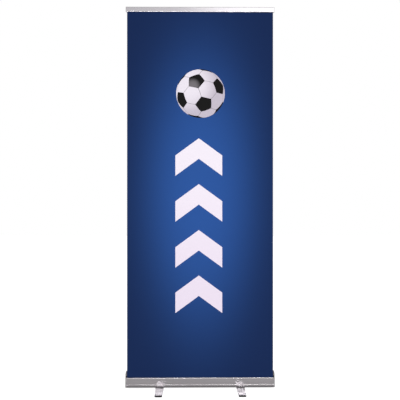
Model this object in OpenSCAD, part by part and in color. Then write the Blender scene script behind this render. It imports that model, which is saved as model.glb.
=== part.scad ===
// Roll-up banner stand: a spring roller in a cassette, two swivelling feet,
// a three-section twist-lock pole and a snap rail that carries the film.
// The origin is on the floor under the middle of the cassette. The front faces -Y.

/* [Banner] */
// Width of the printed film
banner_w = 800; // [600:10:850]
// Height of film seen between the cassette lip and the top rail
banner_h = 2003; // [1900:1:2100]
// Thickness of the film
film_t = 0.4; // [0.3:0.1:0.5]
// How far the film reaches up inside the rail
film_grip = 22; // [18:1:23]

/* [Cassette] */
// Depth from front to back
cassette_depth = 83; // [83:1:88]
// Length over both end caps, beyond the width of the film
cassette_extra_w = 20; // [18:1:30]
// Top of the front lip above the floor
lip_z = 65; // [63:1:67]
// Top of the rounded back above the floor
hump_z = 93; // [92:1:95]
// Underside above the floor
base_z = 10.6; // [10.6:0.1:11]
// Wall of the extruded shell
shell_wall = 1.8; // [1.6:0.1:2]
// Distance of the film behind the front face
film_setback = 5.5; // [5.5:0.1:6]
// Height of the recessed plinth along the foot of the front face
plinth_h = 10; // [8:0.5:12]

/* [Feet] */
// Length of a foot with its tips
foot_len = 340; // [330:1:344]
// Width of a foot at its pivot
foot_w = 49; // [44:1:52]
// Width of a foot at its tips
foot_tip_w = 40; // [36:1:42]
// Distance of each pivot from the middle of the stand
foot_x = 222; // [205:1:228]
// Top of a foot above the floor
foot_top_z = 10; // [9.8:0.1:10]
// Radius of the pivot bolt
pivot_r = 4; // [3:0.5:5]

/* [Roller] */
// Outer radius of the roller tube
roller_r = 14; // [13:0.5:14]
// Outer radius of the film left on the roller
windings_r = 16.5; // [16:0.5:16.5]
// Height of the roller axis above the floor
roller_z = 40; // [39.5:0.5:40]
// Radius of the fixed steel mandrel
mandrel_r = 5; // [4:0.5:5]

/* [Pole] */
// Distance of the pole behind the film
pole_setback = 26; // [26:0.5:27]
// Outer radii of the lower, middle and upper tubes
pole_r = [12.5, 11, 9.5];
// Wall of each tube
pole_wall = 1; // [0.8:0.1:1.2]
// Travel of each sliding section
pole_travel = 600; // [500:10:600]
// Length of a twist collar
collar_len = 42; // [38:1:44]

/* [Top rail] */
// Height of the rail
rail_h = 27; // [25:1:28]
// Depth of the rail from front to back
rail_depth = 17; // [16:0.5:18]
// Length of the rail with its caps, beyond the width of the film
rail_extra_w = 13; // [11:1:16]

/* [Hidden] */
$fn = 72;

gap = 0.3;          // between pieces that move past each other
running = 0.05;     // radial clearance of a running fit

half_depth = cassette_depth / 2;
front_y = -half_depth;
film_y = front_y + film_setback;
total_w = banner_w + cassette_extra_w;
cap_len = 8;                              // end cap beyond the shell
shell_w = total_w - 2 * cap_len;
hump_c = [0, hump_z - half_depth];        // centre of the rounded back, as [y, z]
riser_y = film_y + 3.5;                   // front of the rounded back, behind the film
slot_front_y = film_y - 2.2;
plinth_z = base_z + plinth_h;
plinth_in = 1.5;                          // recess of the plinth
bead_z = plinth_z + 6;                    // top of the bead over the plinth
face_in = 1.3;                            // the face above the bead stands back
face_z = bead_z + 4;
cap_round = 3;                            // rounding of an end cap's outer edge
port_r = 5.5;                             // screw ports inside the shell
port_inset = 7;
screw_r = 1.8;
screw_head_r = 3.2;
ports = [[front_y + plinth_in + port_inset, base_z + port_inset],
    [half_depth - port_inset, base_z + port_inset],
    hump_c + (half_depth - port_inset) * [cos(52), sin(52)]];

roller_y = film_y + film_t / 2 + gap + windings_r;
roller_w = banner_w - 6;
plug_len = 12;
boss_x = roller_w / 2 + 1;                // inner end of the end caps' axle bosses
spring_len = 225;

foot_pad_h = 1.1;
foot_skin = 2;
tip_len = 5;
insert_len = 30;

pole_y = film_y + pole_setback;
socket_r = pole_r[0] + 4.5;
socket_z = roller_z + 21;
pole_base_z = socket_z + 3.8;
bush_len = 12;
// The parts of the pole stack up so that every section can slide down by pole_travel
middle_z = pole_base_z + 2 * bush_len + pole_travel;
lower_top_z = middle_z + 92;
collar_lower_z = lower_top_z + 19 - collar_len;
collar_upper_z = collar_lower_z + collar_len + pole_travel + 4;
middle_top_z = collar_upper_z + collar_len - 19;
upper_z = middle_z + 2 * bush_len + pole_travel;
rail_z = lip_z + banner_h;
shoulder_z = rail_z - 2.3;                // the hook rests here
head_z = shoulder_z - 16;

rail_w = banner_w + rail_extra_w;
rail_cap_t = 1.5;
rail_front_y = film_y - 7;
rail_back_y = rail_front_y + rail_depth;
rail_wall = 1.8;
rail_round = 3;
hook_bore_r = 9;

function arc(c, r, a0, a1, n) =
    [for (i = [0:n]) let (a = a0 + (a1 - a0) * i / n) [c[0] + r * cos(a), c[1] + r * sin(a)]];

// Side outline of the cassette as [y, z] points, g inside its outer surface
function cassette_outline(g) =
    let (r = half_depth - g,
         rise = riser_y + g,
         corner = max(4 - g, 0.4),
         lip = max(1.6 - g, 0.3),
         face = front_y + face_in + g,
         bottom = base_z + g)
    concat(
        arc([front_y + plinth_in + g + corner, bottom + corner], corner, 180, 270, 6),
        arc([half_depth - g - corner, bottom + corner], corner, 270, 360, 6),
        arc(hump_c, r, 0, 180 - acos(-rise / r), 36),
        [[rise, lip_z - g]],
        arc([face + lip, lip_z - g - lip], lip, 90, 180, 5),
        [[face, face_z], [front_y + g, bead_z], [front_y + g, plinth_z + g],
         [front_y + plinth_in + g, plinth_z + g]]);

// Turns a [y, z] section into a solid from x0 to x1
module along_x(x0, x1) {
    translate([x0, 0, 0]) rotate([90, 0, 90]) linear_extrude(x1 - x0) children();
}

module rod_x(x0, x1, r, y, z) {
    translate([x0, y, z]) rotate([0, 90, 0]) cylinder(h = x1 - x0, r = r);
}

module tube_x(x0, x1, r_out, r_in, y, z) {
    difference() {
        rod_x(x0, x1, r_out, y, z);
        rod_x(x0 - 1, x1 + 1, r_in, y, z);
    }
}

module tube_z(z0, z1, r_out, r_in) {
    translate([0, pole_y, z0]) difference() {
        cylinder(h = z1 - z0, r = r_out);
        translate([0, 0, -1]) cylinder(h = z1 - z0 + 2, r = r_in);
    }
}

module mirrored_x() {
    children();
    mirror([1, 0, 0]) children();
}

// ---- cassette ----

module shell_section() {
    difference() {
        union() {
            difference() {
                polygon(cassette_outline(0));
                polygon(cassette_outline(shell_wall));
            }
            intersection() {
                union() for (p = ports) translate(p) circle(r = port_r);
                polygon(cassette_outline(shell_wall / 2));
            }
        }
        // film slot and screw ports
        translate([slot_front_y, lip_z - 8]) square([riser_y - slot_front_y, 8 + gap]);
        for (p = ports) translate(p) circle(r = screw_r + 0.1, $fn = 32);
    }
}

module cassette_shell() {
    color("silver") difference() {
        along_x(-shell_w / 2, shell_w / 2) shell_section();
        translate([0, pole_y, socket_z]) cylinder(h = 60, r = socket_r + gap);
        for (s = [-1, 1]) {
            translate([s * foot_x, 0, 0]) cylinder(h = base_z + 5, r = pivot_r + gap);
            translate([s * 24, pole_y + 18, socket_z]) cylinder(h = 60, r = 2.2);
        }
    }
}

// Black strip behind the film, down into the slot
module slot_guide() {
    color("#18181a") {
        along_x(-total_w / 2 + 3, total_w / 2 - 3)
            polygon(concat([[riser_y - 0.1, lip_z + gap], [riser_y - 0.1, lip_z + 10.5]],
                arc([riser_y - 1, lip_z + 9.6], 0.9, 90, 180, 5), [[riser_y - 1.9, lip_z + gap]]));
        along_x(-shell_w / 2 + 0.5, shell_w / 2 - 0.5)
            polygon([[riser_y - 0.1, lip_z - 5], [riser_y - 0.1, lip_z + gap],
                [riser_y - 1.9, lip_z + gap], [riser_y - 1.9, lip_z - 5]]);
    }
}

// Each slice of the rounded edge starts a little inside the slice before it
module end_cap() {
    slices = 5;
    difference() {
        union() {
            along_x(shell_w / 2, total_w / 2 - cap_round) polygon(cassette_outline(0));
            for (i = [0:slices - 1])
                along_x(total_w / 2 - cap_round + cap_round * sin(90 * i / slices) - 0.2,
                        total_w / 2 - cap_round + cap_round * sin(90 * (i + 1) / slices))
                    polygon(cassette_outline(cap_round * (1 - cos(90 * (i + 0.5) / slices))));
            rod_x(boss_x, shell_w / 2 + 1, 9, roller_y, roller_z);
        }
        rod_x(boss_x - 1, shell_w / 2 + 4, mandrel_r + running, roller_y, roller_z);
        for (p = ports) {
            rod_x(shell_w / 2 - 1, total_w / 2 + 1, screw_r + 0.2, p[0], p[1]);
            rod_x(total_w / 2 - 3.2, total_w / 2 + 1, screw_head_r + 0.3, p[0], p[1]);
        }
    }
}

module end_cap_left() color("gainsboro") mirror([1, 0, 0]) end_cap();
module end_cap_right() color("gainsboro") end_cap();

module end_cap_screws() {
    color("dimgray") mirrored_x() for (p = ports) {
        rod_x(shell_w / 2 - 14, total_w / 2 - 3.2, screw_r, p[0], p[1]);
        difference() {
            rod_x(total_w / 2 - 3.2, total_w / 2 - 1.2, screw_head_r, p[0], p[1]);
            translate([total_w / 2 - 1.7, p[0], p[1]]) {
                cube([1.4, 4.4, 0.9], center = true);
                cube([1.4, 0.9, 4.4], center = true);
            }
        }
    }
}

// ---- pole socket in the rounded back ----

module pole_socket() {
    color("#202022") difference() {
        union() {
            translate([0, pole_y, socket_z]) cylinder(h = hump_z + 3 - socket_z, r = socket_r);
            translate([-32, pole_y - 14, socket_z]) cube([64, 38, 3]);
            for (s = [-1, 1]) translate([s * 24, pole_y + 18, socket_z]) cylinder(h = 27, r = 5);
        }
        translate([0, pole_y, socket_z + 2]) cylinder(h = 60, r = pole_r[0] + 0.2);
        for (s = [-1, 1])
            translate([s * 24, pole_y + 18, socket_z + 10]) cylinder(h = 40, r = screw_r + 0.1);
    }
}

module socket_screws() {
    color("dimgray") for (s = [-1, 1]) translate([s * 24, pole_y + 18, 0]) {
        translate([0, 0, hump_z - 20]) cylinder(h = 20.1, r = screw_r);
        difference() {
            translate([0, 0, hump_z + 0.05]) cylinder(h = 2.2, r = screw_head_r);
            translate([0, 0, hump_z + 2.1]) {
                cube([4.4, 0.9, 1.4], center = true);
                cube([0.9, 4.4, 1.4], center = true);
            }
        }
    }
}

// ---- feet ----

module foot_plan(inset, half_len) {
    end_w = foot_w + (foot_tip_w - foot_w) * half_len / (foot_len / 2);
    polygon([[-foot_w / 2 + inset, 0], [-end_w / 2 + inset, -half_len], [end_w / 2 - inset, -half_len],
        [foot_w / 2 - inset, 0], [end_w / 2 - inset, half_len], [-end_w / 2 + inset, half_len]]);
}

module foot_bar(x) {
    bar_half = foot_len / 2 - tip_len;
    color("lightgray") translate([x, 0, 0]) difference() {
        union() {
            difference() {
                translate([0, 0, 2.2]) linear_extrude(foot_top_z - 2.2) foot_plan(0, bar_half);
                translate([0, 0, 2]) linear_extrude(foot_top_z - foot_skin - 2)
                    foot_plan(foot_skin, bar_half + 1);
            }
            translate([0, 0, 4.6]) cylinder(h = foot_top_z - 5, r = 11);
        }
        cylinder(h = foot_top_z + 1, r = pivot_r + running);
    }
}

module foot_tips(x) {
    bar_half = foot_len / 2 - tip_len;
    bulge = 3;
    tip_r = (pow(foot_tip_w / 2, 2) + bulge * bulge) / (2 * bulge);
    half_angle = asin(foot_tip_w / 2 / tip_r);
    color("#151515") translate([x, 0, 0]) for (turn = [0, 180]) rotate(turn) {
        translate([0, 0, foot_pad_h]) linear_extrude(foot_top_z - foot_pad_h - 0.1)
            polygon(concat([[foot_tip_w / 2, -bar_half - 0.05], [-foot_tip_w / 2, -bar_half - 0.05]],
                arc([0, -foot_len / 2 + tip_r], tip_r, 270 - half_angle, 270 + half_angle, 12)));
        translate([-foot_tip_w / 2 + foot_skin + 0.4, -bar_half - 0.1, foot_pad_h])
            cube([foot_tip_w - 2 * foot_skin - 0.8, insert_len, foot_top_z - foot_skin - foot_pad_h - 0.1]);
    }
}

module foot_pads(x) {
    color("#101010") for (s = [-1, 1])
        translate([x, s * (foot_len / 2 - 20), 0]) cylinder(h = foot_pad_h, r = 9);
}

module foot_left() foot_bar(-foot_x);
module foot_right() foot_bar(foot_x);
module foot_left_tips() foot_tips(-foot_x);
module foot_right_tips() foot_tips(foot_x);
module foot_left_pads() foot_pads(-foot_x);
module foot_right_pads() foot_pads(foot_x);

module foot_bolts() {
    color("gray") for (s = [-1, 1]) translate([s * foot_x, 0, 0]) {
        difference() {
            translate([0, 0, 1.5]) cylinder(h = 2.9, r = 7);
            translate([0, 0, 1.4]) cylinder(h = 1.6, r = 2.6, $fn = 6);
        }
        translate([0, 0, 4.3]) cylinder(h = base_z + 3.9, r = pivot_r);
    }
}

module foot_washers() {
    color("silver") for (s = [-1, 1]) translate([s * foot_x, 0, foot_top_z + 0.05]) difference() {
        cylinder(h = base_z - foot_top_z - 0.1, r = 9);
        translate([0, 0, -1]) cylinder(h = 4, r = pivot_r + 0.1);
    }
}

module foot_nuts() {
    color("gray") for (s = [-1, 1]) translate([s * foot_x, 0, base_z + shell_wall + 0.05]) difference() {
        cylinder(h = 5.5, r = 7.4, $fn = 6);
        translate([0, 0, -1]) cylinder(h = 8, r = pivot_r + running);
    }
}

// ---- spring roller ----

module spring_mandrel() {
    color("gray") rod_x(-shell_w / 2 - 3.5, -roller_w / 2 + plug_len + spring_len + 10,
        mandrel_r, roller_y, roller_z);
}

// Close coils drawn as rings on one thin sleeve
module roller_spring() {
    wire_r = 1;
    coils = floor(spring_len / (2 * wire_r));
    color("darkgray") translate([-roller_w / 2 + plug_len + 2, roller_y, roller_z]) rotate([0, 90, 0])
        rotate_extrude() {
            translate([mandrel_r + 2.6, 0]) square([wire_r * 0.8, spring_len]);
            for (i = [0:4:coils - 1])
                translate([mandrel_r + 3, wire_r * (2 * i + 1)]) circle(r = wire_r, $fn = 24);
        }
}

module idler_pin() {
    color("gray") rod_x(roller_w / 2 - plug_len - 6, shell_w / 2 + 3.5, mandrel_r, roller_y, roller_z);
}

module roller_tube() {
    color("silver") tube_x(-roller_w / 2, roller_w / 2, roller_r, roller_r - 1.2, roller_y, roller_z);
}

module roller_plug() {
    tube_x(-roller_w / 2 + 0.2, -roller_w / 2 + plug_len,
        roller_r - 1.2, mandrel_r + running, roller_y, roller_z);
}

module roller_spring_plug() color("#2c2c2e") roller_plug();
module roller_idler_plug() color("#2c2c2e") mirror([1, 0, 0]) roller_plug();

module leader_strip() {
    color("whitesmoke") tube_x(-banner_w / 2 + 2, banner_w / 2 - 2,
        roller_r + 0.5, roller_r, roller_y, roller_z);
}

module banner_windings() {
    color("#d8dae0") tube_x(-banner_w / 2, banner_w / 2, windings_r, roller_r + 0.5, roller_y, roller_z);
}

module banner_sheet() {
    color("#2a4f96") translate([-banner_w / 2, film_y - film_t / 2, roller_z])
        cube([banner_w, film_t, rail_z + film_grip - roller_z]);
}

// ---- pole ----

module collar(z, r_low, r_high) {
    grip_r = pole_r[0] + 4;
    color("#1c1c1e") translate([0, pole_y, z]) difference() {
        union() {
            translate([0, 0, 2]) cylinder(h = collar_len - 4, r = grip_r);
            cylinder(h = 2.01, r1 = grip_r - 1.5, r2 = grip_r);
            translate([0, 0, collar_len - 2.01]) cylinder(h = 2.01, r1 = grip_r, r2 = grip_r - 1.5);
        }
        for (i = [0:15]) rotate(i * 360 / 16)
            translate([grip_r + 0.7, 0, 5]) cylinder(h = collar_len - 10, r = 1.5, $fn = 20);
        translate([0, 0, -1]) cylinder(h = collar_len - 17.9, r = r_low + running);
        translate([0, 0, -1]) cylinder(h = collar_len + 2, r = r_high + running);
    }
}

module bush(z, r_out, r_in) tube_z(z, z + bush_len, r_out, r_in);

module pole_lower() color("silver") tube_z(pole_base_z, lower_top_z, pole_r[0], pole_r[0] - pole_wall);
module pole_middle() color("silver") tube_z(middle_z, middle_top_z, pole_r[1], pole_r[1] - pole_wall);
module pole_upper() color("silver") tube_z(upper_z, head_z, pole_r[2], pole_r[2] - pole_wall);

module pole_foot_plug() {
    color("#1c1c1e") translate([0, pole_y, socket_z + 2.2]) {
        cylinder(h = 1.5, r = pole_r[0]);
        cylinder(h = bush_len, r = pole_r[0] - pole_wall - running);
    }
}

module middle_bush() {
    color("#e4e4e0") {
        bush(middle_z - bush_len - 0.05, pole_r[0] - pole_wall - running, 6);
        tube_z(middle_z - 0.1, middle_z + 10, pole_r[1] - pole_wall - running, 6);
    }
}

module upper_bush() {
    color("#e4e4e0") {
        bush(upper_z - bush_len - 0.05, pole_r[1] - pole_wall - running, 5);
        tube_z(upper_z - 0.1, upper_z + 10, pole_r[2] - pole_wall - running, 5);
    }
}

module collar_lower() collar(collar_lower_z, pole_r[0], pole_r[1]);
module collar_upper() collar(collar_upper_z, pole_r[1], pole_r[2]);

module pole_head() {
    color("#1c1c1e") translate([0, pole_y, 0]) {
        translate([0, 0, head_z - 14]) cylinder(h = 14.1, r = pole_r[2] - pole_wall - running);
        translate([0, 0, head_z + 0.05]) cylinder(h = shoulder_z - head_z, r = 12.4);
        translate([0, 0, shoulder_z]) cylinder(h = 15, r = hook_bore_r - 0.08);
        translate([0, 0, shoulder_z + 14.9]) cylinder(h = 2, r1 = hook_bore_r - 0.08, r2 = hook_bore_r - 2);
    }
}

// ---- top rail ----

// Rounded front, open towards the film
module rail_front() {
    depth = film_y - film_t / 2 - gap - rail_front_y;
    color("silver") along_x(-rail_w / 2 + rail_cap_t, rail_w / 2 - rail_cap_t) difference() {
        polygon(rail_outline(0, depth));
        polygon(rail_outline(rail_wall, depth + 1));
    }
}

function rail_outline(g, depth) =
    let (r = rail_round - g)
    concat([[rail_front_y + depth, rail_z + g]], [[rail_front_y + depth, rail_z + rail_h - g]],
        arc([rail_front_y + g + max(r, 0.4), rail_z + rail_h - g - max(r, 0.4)], max(r, 0.4), 90, 180, 8),
        arc([rail_front_y + g + max(r, 0.4), rail_z + g + max(r, 0.4)], max(r, 0.4), 180, 270, 8));

// Flat back with a channel for the hook
module rail_back() {
    plate_y = film_y + film_t / 2 + gap;
    color("silver") along_x(-rail_w / 2 + rail_cap_t, rail_w / 2 - rail_cap_t) difference() {
        translate([plate_y, rail_z]) square([rail_back_y - plate_y, rail_h]);
        translate([plate_y + rail_wall, rail_z + rail_wall])
            square([rail_back_y - plate_y - 2 * rail_wall, rail_h - 2 * rail_wall]);
        translate([rail_back_y - rail_wall - 1, rail_z + 7]) square([rail_wall + 2, rail_h - 14]);
    }
}

module rail_cap() {
    plate_y = film_y + film_t / 2 + gap + rail_wall;
    along_x(rail_w / 2 - rail_cap_t, rail_w / 2) polygon(rail_outline(0, rail_depth));
    along_x(rail_w / 2 - rail_cap_t - 12, rail_w / 2 - rail_cap_t + 0.1)
        translate([plate_y + gap, rail_z + rail_wall + gap])
            square([4, rail_h - 2 * rail_wall - 2 * gap]);
}

module rail_cap_left() color("gainsboro") mirror([1, 0, 0]) rail_cap();
module rail_cap_right() color("gainsboro") rail_cap();

// Block in the rail's channel with a socket for the pole head
module rail_hook() {
    channel_y = film_y + film_t / 2 + gap + rail_wall + 0.2;
    lip_y = rail_back_y - rail_wall - 0.2;
    color("#1c1c1e") difference() {
        union() {
            translate([-22, channel_y, rail_z + rail_wall + 0.2])
                cube([44, lip_y - channel_y, rail_h - 2 * rail_wall - 0.4]);
            translate([-20, lip_y - 0.1, rail_z + 7.2]) cube([40, pole_y - lip_y, rail_h - 14.4]);
            translate([-20, rail_back_y + 0.2, rail_z - 2]) cube([40, pole_y - rail_back_y, rail_h - 2]);
            translate([0, pole_y, rail_z - 2]) cylinder(h = rail_h - 2, r = 13.5);
        }
        translate([0, pole_y, rail_z - 3]) cylinder(h = 21, r = hook_bore_r);
    }
}

cassette_shell();
slot_guide();
end_cap_left();
end_cap_right();
end_cap_screws();
pole_socket();
socket_screws();
foot_bolts();
foot_washers();
foot_nuts();
spring_mandrel();
roller_spring();
idler_pin();
pole_lower();
pole_foot_plug();
banner_sheet();
foot_left();
foot_left_tips();
foot_left_pads();
foot_right();
foot_right_tips();
foot_right_pads();
roller_tube();
roller_spring_plug();
roller_idler_plug();
leader_strip();
banner_windings();
collar_lower();
pole_middle();
middle_bush();
collar_upper();
pole_upper();
upper_bush();
pole_head();
rail_back();
rail_front();
rail_cap_left();
rail_cap_right();
rail_hook();
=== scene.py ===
import math

import bmesh
import bpy
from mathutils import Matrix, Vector


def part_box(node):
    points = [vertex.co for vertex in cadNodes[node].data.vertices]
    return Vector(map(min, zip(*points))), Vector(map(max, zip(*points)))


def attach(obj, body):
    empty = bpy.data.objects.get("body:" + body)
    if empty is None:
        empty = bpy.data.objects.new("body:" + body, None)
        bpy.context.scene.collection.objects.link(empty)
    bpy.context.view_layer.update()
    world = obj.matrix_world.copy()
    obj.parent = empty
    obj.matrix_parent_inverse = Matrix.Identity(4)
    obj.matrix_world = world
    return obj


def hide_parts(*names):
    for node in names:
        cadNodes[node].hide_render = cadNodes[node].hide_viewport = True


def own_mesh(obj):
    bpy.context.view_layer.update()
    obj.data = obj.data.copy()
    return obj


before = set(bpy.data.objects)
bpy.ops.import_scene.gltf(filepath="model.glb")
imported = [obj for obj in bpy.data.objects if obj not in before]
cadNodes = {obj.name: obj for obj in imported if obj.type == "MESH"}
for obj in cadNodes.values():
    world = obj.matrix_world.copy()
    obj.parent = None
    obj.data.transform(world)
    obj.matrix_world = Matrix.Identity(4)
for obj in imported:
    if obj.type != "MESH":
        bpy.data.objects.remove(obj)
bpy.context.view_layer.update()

mm = 0.001


# Node trees. Wire is an output socket that takes part in sums, Maker adds the nodes.
class Wire:
    def __init__(self, maker, socket):
        self.maker = maker
        self.socket = socket

    def maths(self, operation, first, second):
        return self.maker.node("ShaderNodeMath", {"operation": operation}, {0: first, 1: second})

    def __add__(self, other):
        return self.maths("ADD", self, other)

    def __sub__(self, other):
        return self.maths("SUBTRACT", self, other)

    def __rsub__(self, other):
        return self.maths("SUBTRACT", other, self)

    def __mul__(self, other):
        return self.maths("MULTIPLY", self, other)

    def __truediv__(self, other):
        return self.maths("DIVIDE", self, other)

    def __pow__(self, other):
        return self.maths("POWER", self, other)

    def __rpow__(self, other):
        return self.maths("POWER", other, self)

    __radd__ = __add__
    __rmul__ = __mul__


class Maker:
    def __init__(self, tree):
        self.tree = tree

    def node(self, kind, settings=None, inputs=None, output=0):
        made = self.tree.nodes.new(kind)
        for key, value in (settings or {}).items():
            setattr(made, key, value)
        for key, value in (inputs or {}).items():
            self.feed(made.inputs[key], value)
        return Wire(self, made.outputs[output])

    def feed(self, socket, value):
        if isinstance(value, Wire):
            self.tree.links.new(value.socket, socket)
        else:
            socket.default_value = value

    def stretch(self, place, sizes):
        return self.node("ShaderNodeVectorMath", {"operation": "MULTIPLY"}, {0: place, 1: sizes})

    def point(self, sizes=(1.0, 1.0, 1.0)):
        return self.stretch(self.node("ShaderNodeTexCoord", output="Object"), sizes)

    def noise(self, place, scale, detail=2.0):
        inputs = {"Vector": place, "Scale": scale, "Detail": detail}
        return self.node("ShaderNodeTexNoise", None, inputs, "Fac")

    def axes(self, place):
        split = self.node("ShaderNodeSeparateXYZ", None, {0: place})
        outputs = split.socket.node.outputs
        return [Wire(self, outputs[k]) for k in range(3)]

    def smooth(self, value, low, high):
        ramp = {"interpolation_type": "SMOOTHSTEP"}
        return self.node("ShaderNodeMapRange", ramp, {"Value": value, "From Min": low, "From Max": high})

    def mix(self, factor, first, second, blend="MIX"):
        settings = {"data_type": "RGBA", "blend_type": blend}
        return self.node("ShaderNodeMix", settings, {0: factor, 6: first, 7: second}, 2)

    def shades(self, value, low, high, colour, dim, bright):
        # runs from a dim to a bright tint of one colour
        return self.mix(self.smooth(value, low, high), tint(colour, dim), tint(colour, bright))

    def bump(self, height, strength, distance):
        inputs = {"Height": height, "Strength": strength, "Distance": distance}
        return self.node("ShaderNodeBump", None, inputs)


def newMaterial(name, constants):
    material = bpy.data.materials.new(name)
    material.use_nodes = True
    shader = material.node_tree.nodes["Principled BSDF"]
    for key, value in constants.items():
        shader.inputs[key].default_value = value
    return material, Maker(material.node_tree), shader


def dress(maker, shader, colour, roughness, normal=None):
    maker.feed(shader.inputs["Base Color"], colour)
    maker.feed(shader.inputs["Roughness"], roughness)
    if normal:
        maker.feed(shader.inputs["Normal"], normal)


def tint(colour, factor):
    return tuple(min(c * factor, 1.0) for c in colour) + (1.0,)


metal = {
    "lines": (3.0, 900.0),              # how fine the grain is along the drawn lines and across them
    "bands": (2.0, 120.0),
    "clouds": 9.0,
    "lineStrength": 0.03,
    "lineHeight": 0.2 * mm,
    "plinthShadeFade": 0.4 * mm,
    "lipHighlightRise": (3.5 * mm, 0.5 * mm),    # the painted highlight on the lip starts and is full this far below its height
    "lipHighlightFade": 0.8 * mm,
}


# Drawn or extruded metal: fine lines along one axis, soft clouds from the anodising bath
def extrudedMetal(name, colour, rough, along="X", dark=None, lip=None, metallic=1.0):
    material, maker, shader = newMaterial(name, {"Metallic": metallic})

    def drawn(key):
        return maker.point([metal[key][0] if axis == along else metal[key][1] for axis in "XYZ"])
    lines = maker.noise(drawn("lines"), 1.0, 3.0)
    bands = maker.noise(drawn("bands"), 1.0)
    clouds = maker.noise(maker.point(), metal["clouds"], 3.0)
    shade = maker.shades(0.4 * lines + 0.3 * bands + 0.3 * clouds, 0.35, 0.65, colour, 0.94, 1.05)
    if dark:  # painted shade: the plinth below this height is darkened to stand in for the shade and the dark reflection under the base
        height = maker.axes(maker.point())[2]
        plinthShadeMask = 1.0 - maker.smooth(height, dark["z"] - metal["plinthShadeFade"], dark["z"] + metal["plinthShadeFade"])
        shade = maker.mix(plinthShadeMask, shade, tint(colour, dark["factor"]))
    if lip:  # painted highlight: the front lip is brightened to stand in for the reflection of an overhead light
        _, y, z = maker.axes(maker.point())
        start, full = metal["lipHighlightRise"]
        rise = maker.smooth(z, lip["z"] - start, lip["z"] - full)
        lipHighlight = rise * maker.smooth(y, lip["y"], lip["y"] - metal["lipHighlightFade"])
        shade = maker.mix(lipHighlight, shade, tint(colour, lip["factor"]))
    roughness = rough + 0.10 * (lines - 0.5) + 0.08 * (clouds - 0.5)
    dress(maker, shader, shade, roughness, maker.bump(lines, metal["lineStrength"], metal["lineHeight"]))
    return material


grainHeight = 0.1 * mm   # of the fine grain on plastic, steel and film


# Moulded plastic: a fine spark-eroded grain, with faint handling marks
def mouldedPlastic(name, colour, rough, grain=0.25, metallic=0.0, level=0.5):
    material, maker, shader = newMaterial(name, {"Metallic": metallic, "Specular IOR Level": level})
    grains = maker.noise(maker.point(), 1800.0)
    marks = maker.noise(maker.point((1.0, 1.0, 2.5)), 45.0, 4.0)
    shade = maker.shades(marks, 0.3, 0.7, colour, 0.9, 1.12)
    roughness = rough + 0.12 * (marks - 0.5) + 0.06 * (grains - 0.5)
    dress(maker, shader, shade, roughness, maker.bump(grains, grain, grainHeight))
    return material


# Plated or oiled steel
def steel(name, colour, rough):
    material, maker, shader = newMaterial(name, {"Metallic": 1.0})
    spots = maker.noise(maker.point(), 320.0, 4.0)
    clouds = maker.noise(maker.point(), 60.0)
    shade = maker.shades(0.5 * spots + 0.5 * clouds, 0.35, 0.65, colour, 0.82, 1.12)
    dress(maker, shader, shade, rough + 0.16 * (spots - 0.5), maker.bump(spots, 0.12, grainHeight))
    return material


print("materials")
tones = {
    "cassette": (0.225, 0.212, 0.219),
    "rail": (0.485, 0.465, 0.49),
    "foot": (0.82, 0.79, 0.82),
    "pole": (0.55, 0.55, 0.57),
    "roller": (0.50, 0.50, 0.51),
    "cap": (0.225, 0.214, 0.22),
    "black": (0.008, 0.008, 0.0085),
}
plinthTopZ = 20.6 * mm
# painted shade darkens the plinth and a painted highlight brightens the lip, both in the colour
anodised = extrudedMetal("anodisedAluminium", tones["cassette"], 0.24,
                         dark={"z": plinthTopZ, "factor": 0.55},
                         lip={"z": 63.5 * mm, "y": -36 * mm, "factor": 1.9})
channelMetal = extrudedMetal("channelAluminium", tones["rail"], 0.34)
railMetal = extrudedMetal("railAluminium", tones["rail"], 0.24)
footMetal = extrudedMetal("footAluminium", tones["foot"], 0.25, "Y", metallic=0.5)   # bead-blasted
poleMetal = extrudedMetal("poleAluminium", tones["pole"], 0.25, "Z")
rollerMetal = extrudedMetal("rollerAluminium", tones["roller"], 0.38)
silverPlastic = mouldedPlastic("silverPlastic", tones["cap"], 0.36, 0.12, metallic=0.75)
blackPlastic = mouldedPlastic("blackPlastic", tones["black"], 0.46, level=0.2)
nylon = mouldedPlastic("whiteNylon", (0.78, 0.77, 0.73), 0.45, 0.1)
rubber = mouldedPlastic("rubberPad", (0.02, 0.02, 0.021), 0.82, 0.5, level=0.3)
tape = mouldedPlastic("whiteTape", (0.80, 0.79, 0.76), 0.55, 0.15)
zincSteel = steel("zincSteel", (0.50, 0.50, 0.52), 0.30)
springSteel = steel("springSteel", (0.22, 0.21, 0.21), 0.26)


# Shapes. Every one of these adds closed shells to a bmesh.
def arc(centre, radius, start, end, steps):
    points = []
    for k in range(steps + 1):
        angle = math.radians(start + (end - start) * k / steps)
        points.append((centre[0] + radius * math.cos(angle), centre[1] + radius * math.sin(angle)))
    return points


def fillet(points, radius, steps=4, closed=True):
    # rounds each corner of an outline with a short curve
    result = []
    count = len(points)
    for k, corner in enumerate(points):
        if not closed and k in (0, count - 1):
            result.append(tuple(corner))
            continue
        here = Vector(corner)
        before = Vector(points[k - 1]) - here
        after = Vector(points[(k + 1) % count]) - here
        reach = min(radius, 0.45 * before.length, 0.45 * after.length)
        start = here + before.normalized() * reach
        end = here + after.normalized() * reach
        for s in range(steps + 1):
            t = s / steps
            result.append(tuple(start * (1 - t) ** 2 + here * 2 * t * (1 - t) + end * t ** 2))
    return result


def oblong(low, high):
    return [(low[0], low[1]), (high[0], low[1]), (high[0], high[1]), (low[0], high[1])]


def addRings(shape, rings, loop=False):
    made = [[shape.verts.new(p) for p in ring] for ring in rings]
    pairs = list(zip(made, made[1:]))
    if loop:
        pairs.append((made[-1], made[0]))
    for first, second in pairs:
        for k in range(len(first)):
            n = (k + 1) % len(first)
            shape.faces.new((first[k], first[n], second[n], second[k]))
    if not loop:
        shape.faces.new(list(reversed(made[0])))
        shape.faces.new(made[-1])


def addAlongX(shape, section, stations):
    addRings(shape, [[(x, y, z) for y, z in section] for x in stations])


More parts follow.
